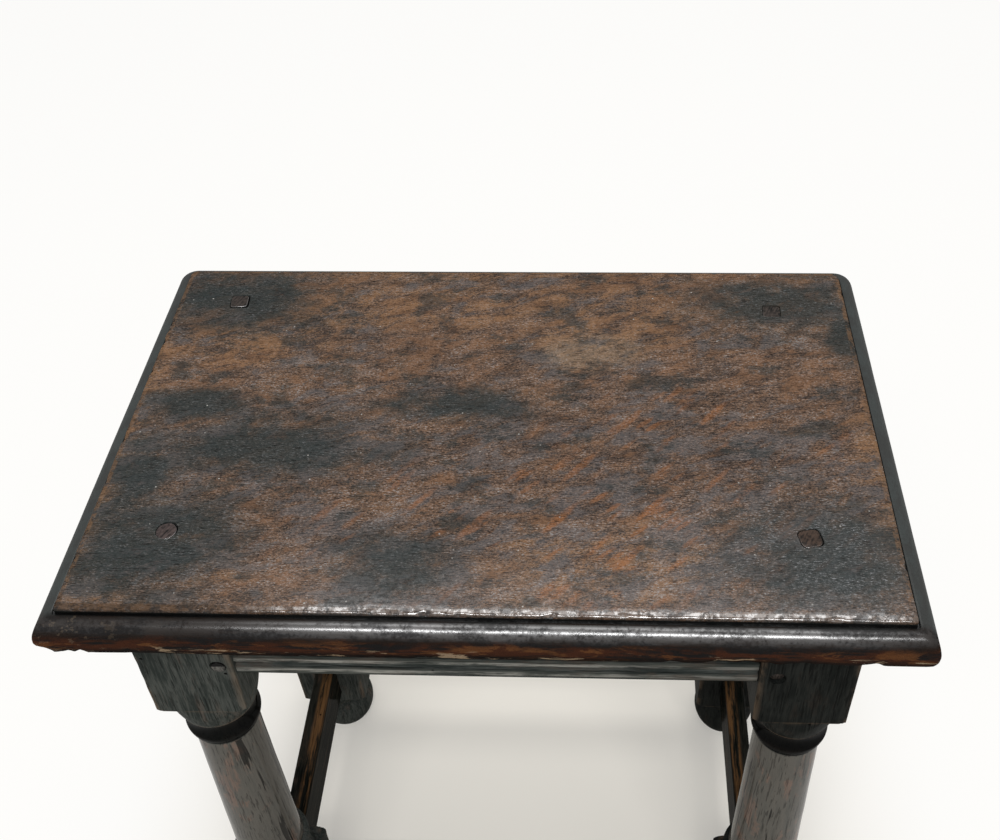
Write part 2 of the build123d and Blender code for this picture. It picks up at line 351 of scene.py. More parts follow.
# --- Finishes -----------------------------------------------------------------------------------
@dataclass(frozen=True)
class SeatFinish:
    """Waxed oak board, black with handling, worn to orange-brown and stained round its pegs."""

    name: str = "seat oak"
    umber: Colour = (0.022, 0.017, 0.014)
    bark: Colour = (0.070, 0.051, 0.042)
    brown: Colour = (0.110, 0.074, 0.054)
    russet: Colour = (0.200, 0.112, 0.064)
    # Palest wood on the grain's crests: dust, with painted grey-white glints.
    dust_and_glint: Colour = (0.265, 0.248, 0.240)
    # Grey-purple haze of the cool patches: painted sheen of the wax.
    sheen_haze: Colour = (0.110, 0.110, 0.114)
    warm: Colour = (0.220, 0.114, 0.060)
    worn: Colour = (0.270, 0.150, 0.076)
    ray: Colour = (0.280, 0.112, 0.040)
    tan: Colour = (0.310, 0.225, 0.150)
    stain: Colour = (0.028, 0.037, 0.037)
    # Silvery grey of the scratches: painted glints and sheen.
    scratch_and_sheen: Colour = (0.330, 0.335, 0.350)
    # Pale flecks, and painted white glints.
    fleck_and_glint: Colour = (0.500, 0.480, 0.450)
    black: Colour = (0.004, 0.004, 0.004)
    sheen_haze_share: float = 0.50
    warm_share: float = 0.46
    worn_share: float = 0.50
    ray_share: float = 0.64
    tan_share: float = 0.36
    stain_share: float = 0.88
    pore_share: float = 0.50
    grit_share: float = 0.40
    fleck_and_glint_share: float = 0.80
    ray_turn: float = -50.0
    coat: Coat = Coat(0.0017, 0.14, 2.4)
    front: tuple[float, float] = (-0.125, -0.130)
    tan_place: Place = Place(0.050, 0.056, 0.036, 0.020)
    ray_place: Place = Place(0.050, -0.088, 0.165, 0.056)
    faint_ray_place: Place = Place(0.120, -0.020, 0.090, 0.050)
    # Patch of painted sheen at the front right.
    sheen_place: Place = Place(0.150, -0.110, 0.150, 0.060)
    shine_place: Place = Place(0.150, -0.105, 0.120, 0.050)
    stains: tuple[Place, ...] = (
        Place(-0.176, 0.106, 0.062, 0.036),
        Place(0.172, 0.104, 0.070, 0.032),
        Place(-0.178, -0.094, 0.060, 0.046),
        Place(0.176, -0.098, 0.056, 0.042),
        Place(-0.128, -0.022, 0.076, 0.026),
        Place(-0.196, -0.046, 0.026, 0.034),
        Place(-0.022, 0.010, 0.052, 0.016),
        Place(-0.045, -0.106, 0.036, 0.022),
        Place(0.207, 0.075, 0.014, 0.030),
        Place(-0.176, 0.008, 0.034, 0.018),
    )
    worn_places: tuple[Place, ...] = (
        Place(-0.156, 0.060, 0.060, 0.030),
        Place(0.210, -0.050, 0.014, 0.080),
        Place(-0.209, -0.010, 0.010, 0.130),
        Place(0.000, 0.134, 0.210, 0.008),
        Place(0.060, -0.104, 0.066, 0.028),
        Place(-0.060, 0.100, 0.110, 0.026),
        Place(0.060, 0.090, 0.080, 0.040),
        Place(-0.196, -0.133, 0.040, 0.007),
    )

    def material(self) -> bpy.types.Material:
        """Makes the finish."""
        return SeatSurface(self).material()


class SeatSurface:
    """The seat's graph: the noises that its colour and relief share, and the marks made of them."""

    def __init__(self, finish: SeatFinish) -> None:
        """Adds the noises.

        Args:
            finish: Colours, shares and places.
        """
        self.finish = finish
        self.graph = Graph(finish.name)
        cloud = self.graph.cloud
        self.warp = cloud((30, 40, 30), 8.0, 0.72)
        self.drift = cloud((9, 14, 14), 4.0, 0.6, 0.4)
        self.streak = cloud((26, 150, 60), 7.0, 0.74)
        self.fine = cloud((160, 900, 300), 4.0, 0.70)
        self.grit = cloud((800, 1200, 900), 3.0, 0.78)
        self.scratch = cloud((430, 1300, 400), 4.0, 0.78, shift=(0.1, 0.3, 0))
        self.pores = cloud((150, 1300, 400), 2.0, 0.6, shift=(0.3, 0.1, 0)).step(0.60, 0.66)
        self.mottle = cloud((48, 95, 70), 9.0, 0.76, 0.5, -16)
        self.dabs = cloud((40, 90, 60), 6.0, 0.72, 0.6, -24, (0.2, 0.5, 0))
        self.lumps = cloud((70, 110, 70), 3.0, 0.6, 0.4, -20, (0.7, 0, 0))
        self.dimples = cloud((330, 330, 330), 3.0, 0.7)
        self.side, self.depth, _ = self.graph.axes()

    def bare(self) -> bpy.types.NodeSocket:
        """Colour of the board before wear: umber to dust and painted glints, cooler with painted sheen and
        warmer in patches.
        """
        finish, mix = self.finish, self.graph.mix
        ground = 0.10 * self.drift + 0.12 * self.streak + 0.22 * self.mottle
        ground = ground + 0.28 * self.grit + 0.28 * self.scratch
        # The palest stop is dust with painted glints on the crests of the grain.
        colour = self.graph.ramp(ground, (
            (0.435, finish.umber), (0.47, finish.bark), (0.50, finish.brown), (0.535, finish.russet),
            (0.57, finish.dust_and_glint),
        ))
        patches = self.graph.cloud((18, 36, 30), 6.0, 0.68, 0.4, -12, (0.5, 0, 0))
        hue = 0.4 * patches + 0.5 * self.dabs + 0.1 * self.grit
        hue = hue + 0.045 * self.depth.step(0.070, -0.040) - 0.025
        # Cool patches, more of them towards the front, carry a painted grey sheen.
        colour = mix(colour, finish.sheen_haze, finish.sheen_haze_share * hue.step(0.50, 0.56))
        return mix(colour, finish.warm, finish.warm_share * hue.step(0.48, 0.43))

    def rubbed(self) -> Signal:
        """1 where the board is rubbed down to brighter wood."""
        rubbed = (self.drift * 0.3 + self.warp * 0.7).step(0.54, 0.62) * 0.7
        rubbed = self.graph.patched(rubbed, self.finish.worn_places, self.warp)
        return rubbed * (0.4 * self.mottle + 0.4 * (1 - self.dabs) + 0.2 * self.grit).step(0.46, 0.56)

    def stained(self) -> Signal:
        """1 where the board is stained: round its pegs, on the left, and in drifts."""
        spread = self.graph.cloud((34, 50, 20), 7.0, 0.70, shift=(0, 0.7, 0))
        stained = (0.5 * self.warp + 0.5 * spread).step(0.51, 0.58) * 0.72
        stained = self.graph.patched(stained, self.finish.stains, self.warp)
        return stained * (0.5 * self.mottle + 0.3 * (1 - self.dabs) + 0.2 * self.grit).step(0.36, 0.49)

    def rays(self) -> Signal:
        """1 on a medullary ray: short slanting flecks, most of them at the front and on the right."""
        graph, turn = self.graph, self.finish.ray_turn
        long = graph.spots((26, 150, 12), 0.30, 0.46, turn)
        short = graph.spots((50, 230, 12), 0.34, 0.48, turn + 9, (0.1, 0.2, 0))
        ground = graph.patch(self.finish.ray_place, self.warp)
        ground = ground.most(0.8 * graph.patch(self.finish.faint_ray_place, self.warp))
        return long.most(0.8 * short) * ground

    def flecks(self) -> Signal:
        """1 on a pale mark, partly a fleck and partly a painted glint: small ones all over, and a few
        larger ones that slant.
        """
        small = self.graph.spots((240, 240, 240), 0.060, 0.17)
        return small.most(self.graph.spots((75, 150, 90), 0.012, 0.10, -30))

    def scratches_and_sheen(self) -> Signal:
        """Fine scratches with painted silvery glints, up to 0.74, most of them at the front right, where a
        patch of painted sheen lies.
        """
        sheen_weight = 0.34 + 0.40 * self.graph.patch(self.finish.sheen_place, self.warp)
        sheen_weight = sheen_weight * (0.6 * self.mottle + 0.4 * self.streak).step(0.42, 0.54)
        return sheen_weight * self.scratch.step(0.53, 0.66)

    def wax(self, rim: Signal) -> Signal:
        """Weight of the wax: hands have polished the front arris and the board next to it.

        Args:
            rim: The arris where it isn't broken.

        Returns:
            The weight.
        """
        glints = self.dimples.step(0.46, 0.58)
        handled = self.side.step(-0.150, -0.070)
        rolled = handled * self.depth.step(-0.120, -0.134) * rim * (0.40 + 0.60 * glints)
        shine = 0.18 * self.graph.patch(self.finish.shine_place, self.dimples)
        shine = shine.most(0.30 * handled * self.depth.step(-0.080, -0.136)) * (0.4 + 0.6 * glints)
        return 0.010 + rolled.most(shine)

    def material(self) -> bpy.types.Material:
        """Lays wear, stains and flecks over the board, and works its arris."""
        finish, graph, mix = self.finish, self.graph, self.graph.mix
        rubbed, rays, flecks = self.rubbed(), self.rays(), self.flecks()
        colour = mix(self.bare(), finish.worn, finish.worn_share * rubbed)
        tan = graph.patch(finish.tan_place, self.warp) * self.mottle.step(0.36, 0.54)
        colour = mix(colour, finish.tan, finish.tan_share * tan)
        broken = (0.4 * self.mottle + 0.6 * self.grit).step(0.34, 0.50)
        colour = mix(colour, finish.ray, finish.ray_share * rays * broken)
        colour = mix(colour, finish.stain, finish.stain_share * self.stained())
        colour = mix(colour, finish.umber, finish.pore_share * self.pores)
        colour = mix(colour, finish.umber, finish.grit_share * self.grit.step(0.46, 0.36))
        # Painted silvery glints on the scratches, and painted sheen at the front right.
        colour = mix(colour, finish.scratch_and_sheen, self.scratches_and_sheen())
        # Pale flecks, partly painted glints.
        colour = mix(colour, finish.fleck_and_glint, finish.fleck_and_glint_share * flecks)
        arris = graph.mark("arris")
        rim = arris * graph.cloud((110, 110, 110), 6.0, 0.78).step(0.44, 0.52)
        front = self.depth.step(*finish.front)
        colour = mix(colour, finish.umber, (0.18 + 0.47 * front) * arris)
        colour = mix(colour, finish.worn, (0.34 - 0.14 * front) * rim)
        # Black in the quirk: painted shade.
        colour = mix(colour, finish.black, graph.mark("crevice_shade"))
        relief = 0.40 * self.fine + 0.45 * self.grit + 0.30 * self.mottle + 0.7 * self.lumps
        relief = relief - 0.35 * self.pores - 0.2 * rays + 0.3 * flecks - 0.30
        rough = 0.44 + 0.20 * (relief - 0.5) - 0.08 * rubbed
        relief = relief + 0.4 * arris * self.dimples
        return graph.finish(colour, rough, relief, self.wax(rim), finish.coat)


@dataclass(frozen=True)
class EdgeFinish:
    """Thumb moulding of the seat: rubbed bright above its nose, red-brown and chipped below."""

    name: str = "seat edge oak"
    umber: Colour = (0.014, 0.010, 0.008)
    dark: Colour = (0.011, 0.010, 0.010)
    side: Colour = (0.031, 0.037, 0.035)
    red: Colour = (0.048, 0.017, 0.009)
    orange: Colour = (0.130, 0.054, 0.020)
    cream: Colour = (0.360, 0.270, 0.180)
    black: Colour = (0.004, 0.004, 0.004)
    orange_share: float = 0.60
    cream_share: float = 0.75
    deep_share: float = 0.80
    coat: Coat = Coat(0.0027, 0.23, 2.3)
    top: float = 0.500
    front: tuple[float, float] = (-0.134, -0.141)
    red_drop: tuple[float, float] = (0.0090, 0.0140)
    deep_drop: tuple[float, float] = (0.0165, 0.0205)

    def material(self) -> bpy.types.Material:
        """Makes the finish."""
        graph = Graph(self.name)
        across, depth, height = graph.axes()
        drop = self.top - height
        blotch = graph.cloud((38, 60, 90), 6.0, 0.72, 0.4)
        streak = graph.cloud((26, 60, 420), 5.0, 0.65)
        grit = graph.cloud((420, 420, 420), 4.0, 0.75)
        front = depth.step(*self.front)
        colour = graph.mix(self.side, self.dark, front)
        smoked = (0.6 * streak + 0.4 * blotch).step(0.42, 0.56)
        colour = graph.mix(colour, self.umber, (0.4 + 0.6 * front) * smoked)
        low = (drop + 0.010 * (blotch - 0.5)).step(*self.red_drop)
        red = low * (0.12 + 0.88 * front) * (0.5 * blotch + 0.5 * streak).step(0.42, 0.54)
        colour = graph.mix(colour, self.red, red)
        patches = graph.cloud((30, 60, 120), 5.0, 0.7, 0.5, shift=(0.1, 0, 0.3)).step(0.54, 0.60)
        colour = graph.mix(colour, self.orange, self.orange_share * low * front * patches)
        deep = (drop + 0.005 * (streak - 0.5)).step(*self.deep_drop)
        colour = graph.mix(colour, self.black, self.deep_share * deep)
        chips = graph.cloud((34, 60, 190), 5.0, 0.72, 0.6, shift=(0.4, 0, 0)).step(0.575, 0.625)
        corner = across.step(-0.160, -0.205) * graph.cloud((190, 190, 260), 4.0, 0.7).step(0.58, 0.62)
        chips = (chips * drop.step(0.013, 0.019)).most(0.15 * corner)
        colour = graph.mix(colour, self.cream, self.cream_share * chips * front)
        # Black in the quirk's lower wall: painted shade.
        colour = graph.mix(colour, self.black, graph.mark("crevice_shade"))
        crest = drop.step(0.0040, 0.0046) * (drop + 0.006 * (streak - 0.5)).step(0.0105, 0.0055)
        rubbed = crest * (0.25 + 0.75 * (0.35 * blotch + 0.30 * streak + 0.35 * grit).step(0.43, 0.54))
        lit = 0.25 + 0.75 * across.step(-0.150, -0.040) * across.step(0.230, 0.150)
        wax = 0.02 + 0.70 * front * rubbed * lit + 0.15 * (1 - front)
        relief = 0.6 * grit + 0.5 * blotch + 0.35 * streak
        rough = 0.45 + 0.3 * (blotch - 0.5)
        return graph.finish(colour, rough, relief, wax, self.coat)


@dataclass(frozen=True)
class FrameFinish:
    """Waxed oak of the frame: nearly black, grained, with worn and reddened patches."""

    name: str
    grain: Grain
    dark: Colour = (0.026, 0.031, 0.029)
    mid: Colour = (0.072, 0.078, 0.072)
    red: Colour = (0.110, 0.065, 0.046)
    pale: Colour = (0.280, 0.190, 0.125)
    black: Colour = (0.003, 0.003, 0.003)
    red_share: float = 0.25
    wear_share: float = 0.26
    pore_share: float = 0.42
    rough: float = 0.42
    coat: Coat = Coat(0.0010, 0.10, 1.2)

    def stretched(self, along: float, across: float) -> Triple:
        """Noise scale that is drawn out along the grain.

        Args:
            along: Features in a metre along the grain.
            across: Features in a metre across it.

        Returns:
            The scale on each axis.
        """
        scale = [across] * 3
        scale[self.grain.value] = along
        return tuple(scale)

    def tint(self, graph: Graph, colour: bpy.types.NodeSocket) -> bpy.types.NodeSocket:
        """Adds what only some pieces show to the colour so far. This plain finish adds nothing."""
        return colour

    def gloss(self, graph: Graph) -> "Signal | float":
        """Weight of the thin wax, which is even on this plain finish."""
        return 0.12

    def material(self) -> bpy.types.Material:
        """Makes the finish."""
        graph = Graph(self.name)
        drift = graph.cloud((22, 22, 22), 4.0, 0.6, 0.3)
        streak = graph.cloud(self.stretched(16, 190), 7.0, 0.72)
        fine = graph.cloud(self.stretched(45, 900), 4.0, 0.70)
        pores = graph.cloud(self.stretched(28, 900), 2.0, 0.6).step(0.58, 0.65)
        blotch = graph.cloud(self.stretched(22, 60), 5.0, 0.68, 0.4)
        grained = (0.25 * drift + 0.4 * streak + 0.35 * fine).step(0.42, 0.57)
        colour = graph.mix(self.dark, self.mid, grained)
        red = (0.6 * blotch + 0.4 * streak).step(0.51, 0.60)
        colour = graph.mix(colour, self.red, self.red_share * red)
        colour = self.tint(graph, colour)
        wear = graph.mark("wear") * blotch.step(0.38, 0.54)
        colour = graph.mix(colour, self.pale, self.wear_share * wear)
        colour = graph.mix(colour, self.black, self.pore_share * pores)
        holes = graph.spots((110, 110, 110), 0.16, 0.13)
        band = graph.mark("band")
        colour = graph.mix(colour, self.black, holes.most(0.95 * band))
        relief = (0.45 * fine + 0.35 * streak + 0.2 * blotch) * (1 - 0.8 * band)
        relief = relief - 0.4 * pores - 0.8 * holes
        rough = self.rough + 0.25 * (streak - 0.5) - 0.10 * wear - 0.22 * band
        wax = 0.10 * band + self.gloss(graph)
        return graph.finish(colour, rough, relief, wax, self.coat)


@dataclass(frozen=True)
class LegFinish(FrameFinish):
    """Turned leg: its shafts are browner than its blocks, and the right-hand legs are darker."""

    shaft: Colour = (0.114, 0.106, 0.094)
    blush: Colour = (0.195, 0.122, 0.094)
    blush_share: float = 0.6
    crack_share: float = 0.8
    right_share: float = 0.75
    shaft_top: float = 0.316
    shaft_end: float = 0.166
    shaft_fade: float = 0.002

    def on_shaft(self, graph: Graph) -> Signal:
        """1 on the legs' shafts, 0 on the rest."""
        height = graph.axes()[2]
        low = height.step(self.shaft_end - self.shaft_fade, self.shaft_end)
        return low * height.step(self.shaft_top + self.shaft_fade, self.shaft_top)

    def gloss(self, graph: Graph) -> Signal:
        """Weight of the thin wax: hands and skirts have polished the shafts."""
        return 0.10 + 0.50 * self.on_shaft(graph)

    def tint(self, graph: Graph, colour: bpy.types.NodeSocket) -> bpy.types.NodeSocket:
        """Darkens the right-hand legs' blocks, and adds the shafts' colour, blush and cracks.

        Args:
            graph: The graph to add to.
            colour: The colour so far.

        Returns:
            The colour.
        """
        side = graph.axes()[0]
        streak = graph.cloud((240, 240, 9), 5.0, 0.7, shift=(0.2, 0, 0))
        blush = graph.cloud((40, 40, 26), 4.0, 0.65, shift=(0, 0.4, 0))
        shaft = self.on_shaft(graph)
        right = side.step(-0.05, 0.05) * (1 - shaft)
        colour = graph.mix(colour, self.black, self.right_share * right)
        colour = graph.mix(colour, self.shaft, shaft * (0.40 + 0.48 * streak.step(0.20, 0.60)))
        blush = self.blush_share * shaft * blush.step(0.54, 0.62) * streak.step(0.40, 0.56)
        colour = graph.mix(colour, self.blush, blush)
        crack = graph.cloud((95, 95, 5), 3.0, 0.6, shift=(0.6, 0.1, 0))
        return graph.mix(colour, self.black, self.crack_share * shaft * crack.step(0.605, 0.625))


@dataclass(frozen=True)
class StretcherFinish(FrameFinish):
    """Stretcher whose upper edge feet have worn down to ochre wood."""

    dark: Colour = (0.004, 0.005, 0.004)
    mid: Colour = (0.020, 0.019, 0.015)
    ochre: Colour = (0.150, 0.075, 0.030)
    ochre_share: float = 0.85
    worn_from: float = 0.1125
    inner: float = 0.1778

    def tint(self, graph: Graph, colour: bpy.types.NodeSocket) -> bpy.types.NodeSocket:
        """Adds the worn upper edge.

        Args:
            graph: The graph to add to.
            colour: The colour so far.

        Returns:
            The colour.
        """
        across, _, height = graph.axes()
        ragged = graph.cloud(self.stretched(14, 190), 7.0, 0.72)
        worn = (height + 0.004 * (ragged - 0.5)).step(self.worn_from, self.worn_from + 0.002)
        rubbed = (abs(across) + 0.006 * (ragged - 0.5)).step(self.inner, self.inner - 0.003)
        return graph.mix(colour, self.ochre, self.ochre_share * worn * rubbed * ragged.step(0.42, 0.55))


@dataclass(frozen=True)
class RailFinish(FrameFinish):
    """Frieze rail: its two beads are rubbed grey, and its grooves are black."""

    crest: Colour = (0.330, 0.325, 0.300)
    crest_share: float = 0.78
    under_share: float = 0.85
    under: tuple[float, float] = (0.3985, 0.3970)
    beads: tuple[tuple[float, float], ...] = ((0.4010, 0.0020), (0.4095, 0.0022), (0.4185, 0.0020))

    def tint(self, graph: Graph, colour: bpy.types.NodeSocket) -> bpy.types.NodeSocket:
        """Adds the rubbed beads and the dark lower edge.

        Args:
            graph: The graph to add to.
            colour: The colour so far.

        Returns:
            The colour.
        """
        side, _, height = graph.axes()
        ragged = graph.cloud(self.stretched(20, 150), 6.0, 0.7)
        rubbed = ragged.step(0.40, 0.58) * (1 - 0.5 * side.step(0.02, 0.12))
        for middle, reach in self.beads:
            near = abs(height - middle + 0.002 * (ragged - 0.5)).step(1.05 * reach, 0.4 * reach)
            colour = graph.mix(colour, self.crest, self.crest_share * near * rubbed)
        return graph.mix(colour, self.black, self.under_share * height.step(*self.under))


@dataclass(frozen=True)
class PegFinish:
    """Riven peg, seen on its end grain."""

    name: str
    wood: Colour
    dark: Colour = (0.008, 0.008, 0.008)
    # Heights of the leg pegs' rows, whose tops carry a crescent of painted shade.
    crescent_rows: tuple[float, ...] = (0.4440, 0.4071)
    radius: float = 0.004
    coat: Coat = Coat(0.0004, 0.16, 2.2)

    def material(self) -> bpy.types.Material:
        """Makes the finish: painted shade lies below a seat peg's rim, in the gap round it, and as a
        crescent on top of a peg in a leg, under its hole's edge.
        """
        graph = Graph(self.name)
        height = graph.axes()[2]
        grit = graph.cloud((420, 420, 420), 4.0, 0.7)
        rings = graph.cloud((900, 160, 160), 3.0, 0.6, turn=25)
        colour = graph.mix(self.dark, self.wood, (0.5 * grit + 0.5 * rings).step(0.34, 0.62))
        painted_shade = graph.mark("crevice_shade")
        # Crescent of painted shade on top of each row of leg pegs, under the hole's upper edge.
        for row in self.crescent_rows:
            above = height.step(row + 0.4 * self.radius, row + 0.6 * self.radius)
            painted_shade = painted_shade.most(above * height.step(row + 1.5 * self.radius, row + 1.2 * self.radius))
        colour = graph.mix(colour, self.dark, painted_shade)
        rough = 0.36 + 0.2 * grit
        wax = 0.04 + 0.80 * graph.mark("arris")
        return graph.finish(colour, rough, grit, wax, self.coat)


@dataclass(frozen=True)
class FloorFinish:
    """Pale seamless floor, which the camera and the reflections see as white round the stool."""

    name: str = "pale floor"
    pale: Colour = (0.89, 0.855, 0.78)
    white: Colour = (1.0, 0.998, 0.99)
    under_share: float = 0.20
    open_share: float = 0.88
    open_across: tuple[float, float] = (0.16, 0.38)
    open_depth: tuple[float, float] = (0.20, 0.60)

    def material(self) -> bpy.types.Material:
        """Makes the finish."""
        graph = Graph(self.name)
        matt = graph.node("ShaderNodeBsdfDiffuse", None, {"Color": self.pale, "Roughness": 1.0})
        glow = graph.node("ShaderNodeEmission", None, {"Color": self.white, "Strength": 1.0})
        across, depth, _ = graph.axes()
        outside = abs(across).step(*self.open_across).most(abs(depth).step(*self.open_depth))
        share = (self.under_share + (self.open_share - self.under_share) * outside) * graph.seen()
        both = graph.node("ShaderNodeMixShader", None, {0: share, 1: matt.outputs[0], 2: glow.outputs[0]})
        graph.node("ShaderNodeOutputMaterial", None, {"Surface": both.outputs[0]})
        return graph.owner


# --- Modelling helpers ----------------------------------------------------------------------------
def rounded(x: float, y: float, half_x: float, half_y: float, radius: float) -> tuple[float, float]:
    """Draws a point of a rectangle's corner in, onto a rounded corner.

    Args:
        x: The point, from the rectangle's middle.
        y: The point, from the rectangle's middle.
        half_x: Half the rectangle's width.
        half_y: Half the rectangle's depth.
        radius: Radius of the corner.

    Returns:
        The point on the rounded rectangle, or as it was where no corner is near.
    """
    out_x, out_y = abs(x) - (half_x - radius), abs(y) - (half_y - radius)
    if out_x <= 0 or out_y <= 0:
        return x, y
    reach = math.hypot(out_x, out_y)
    share = max(out_x, out_y) / reach
    out_x, out_y = out_x * share, out_y * share
    return math.copysign(half_x - radius + out_x, x), math.copysign(half_y - radius + out_y, y)


def ease(value: float, low: float, high: float) -> float:
    """Smooth step from 0 at low to 1 at high."""
    share = min(1.0, max(0.0, (value - low) / (high - low)))
    return share * share * (3 - 2 * share)


def wobble(x: float, y: float, z: float, scale: float, octaves: int = 1) -> float:
    """Smooth noise of about -1 to 1 at a point in metres, with so many features in a metre."""
    point = Vector((x, y, z)) * scale
    return noise.fractal(point, 1.0, 2.0, octaves)


def add_piece(name: str, mesh: bmesh.types.BMesh, material: bpy.types.Material, slot: str,
              *nodes: str, crease: float = 45.0) -> bpy.types.Object:
    """Puts a finished mesh in the scene, riding on the stool.

    Args:
        name: The piece's name.
        mesh: Its mesh, which is freed.
        material: Its finish.
        slot: Name of a material slot; not used.
        nodes: CAD nodes that it stands for.
        crease: Degrees between faces past which their edge is sharp.

    Returns:
        The piece.
    """
    data = bpy.data.meshes.new(name)
    mesh.to_mesh(data)
    mesh.free()
    data.materials.append(material)
    data.shade_smooth()
    data.set_sharp_from_angle(angle=math.radians(crease))
    piece = bpy.data.objects.new(name, data)
    bpy.context.scene.collection.objects.link(piece)
    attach(piece, "root")
    if nodes:
        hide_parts(*nodes)
    LOG.info("%s: %d faces", name, len(data.polygons))
    return piece


def cut(mesh: bmesh.types.BMesh, cutter: bmesh.types.BMesh) -> bmesh.types.BMesh:
    """Takes one closed mesh out of another.

    Args:
        mesh: What is cut, which is freed.
        cutter: What is taken out, which is freed.

    Returns:
        The rest.
    """
    objects = []
    for name, source in (("body", mesh), ("cutter", cutter)):
        data = bpy.data.meshes.new(name)
        source.to_mesh(data)
        source.free()
        objects.append(bpy.data.objects.new(name, data))
        bpy.context.scene.collection.objects.link(objects[-1])
    body, tool = objects
    modifier = body.modifiers.new("cut", "BOOLEAN")
    modifier.object = tool
    modifier.operation = "DIFFERENCE"
    modifier.solver = "MANIFOLD"
    done = bpy.data.meshes.new_from_object(body.evaluated_get(bpy.context.evaluated_depsgraph_get()))
    result = bmesh.new()
    result.from_mesh(done)
    bpy.data.meshes.remove(done)
    for leftover in objects:
        data = leftover.data
        bpy.data.objects.remove(leftover)
        bpy.data.meshes.remove(data)
    return result


# --- Seat -----------------------------------------------------------------------------------------
class PegShape(Enum):
    """Outline of a seat peg's end: its number of sides, and the rounding of its arrises in widths."""

    ROUND = (28, 0.0)
    FLATTED = (4, 0.28)
    SQUARE = (4, 0.16)


@dataclass
class SeatPeg:
    """One of the four riven pegs that hold the seat down."""

    corner: str
    x: float
    y: float
    shape: PegShape
    width: float
    top: float = 0.4994
    length: float = 0.030
    rim: float = 0.0005
    gap: float = 0.0003
    uneven: float = 0.25
    turn: float = 0.0
    lean: tuple[float, float] = (0.0, 0.0)

    def solid(self, spare: float, top: float) -> bmesh.types.BMesh:
        """Upright prism with the peg's outline.

        Args:
            spare: How far its sides stand outside the peg's.
            top: Height of its upper end.

        Returns:
            The prism.
        """
        mesh = bmesh.new()
        sides, rounding = self.shape.value
        half = self.width / 2 + spare
        radius = half / math.cos(math.pi / sides)
        if self.shape is PegShape.SQUARE:
            radius = half * math.sqrt(2)
        place = Matrix.Translation((self.x, self.y, top - self.length / 2))
        turn = Matrix.Rotation(math.radians(self.turn) + math.pi / sides, 4, "Z")
        bmesh.ops.create_cone(mesh, cap_ends=True, segments=sides, radius1=radius, radius2=radius,
                              depth=self.length, matrix=place @ turn)
        if rounding:
            upright = [e for e in mesh.edges if abs(e.verts[0].co.z - e.verts[1].co.z) > MM]
            bmesh.ops.bevel(mesh, geom=upright, offset=self.width * rounding, affect="EDGES", segments=3,
                            profile=0.5, material=-1)
        return mesh

    def build(self, material: bpy.types.Material) -> bpy.types.Object:
        """Makes the peg, with a worn end that leans to one side of its hole.

        Args:
            material: The peg's finish.

        Returns:
            The piece.
        """
        mesh = self.solid(0.0, self.top)
        arris = mesh.verts.layers.float.new("arris")
        crevice_shade = mesh.verts.layers.float.new("crevice_shade")
        rim = [e for e in mesh.edges if min(v.co.z for v in e.verts) > self.top - MM / 10]
        bmesh.ops.bevel(mesh, geom=rim, offset=self.rim, affect="EDGES", segments=4,
                        profile=0.5, material=-1)
        for vert in mesh.verts:
            drop = self.top - vert.co.z
            vert[arris] = ease(drop, 0.0, 0.2 * self.rim) * ease(drop, self.rim, 0.8 * self.rim)
            # The peg's sides below its rounded rim carry painted shade of the gap round it.
            vert[crevice_shade] = ease(drop, 0.7 * self.rim, self.rim)
            sway = wobble(vert.co.x, vert.co.y, vert.co.z, 160)
            vert.co.x += self.uneven * MM * sway + self.lean[0]
            vert.co.y -= self.uneven * MM * sway - self.lean[1]
        return add_piece(f"seat_peg_end_{self.corner}", mesh, material, "peg_oak",
                         f"seat_peg_{self.corner}")


@dataclass(frozen=True)
class SeatWear:
    """How far each kind of wear goes into the seat, in millimetres."""

    lie: float = 0.25
    ripple: float = 0.06
    chip: float = 2.4
    soft: float = 0.35
    sway: float = 0.3
    chew: float = 1.5
    deepest: float = 7.0


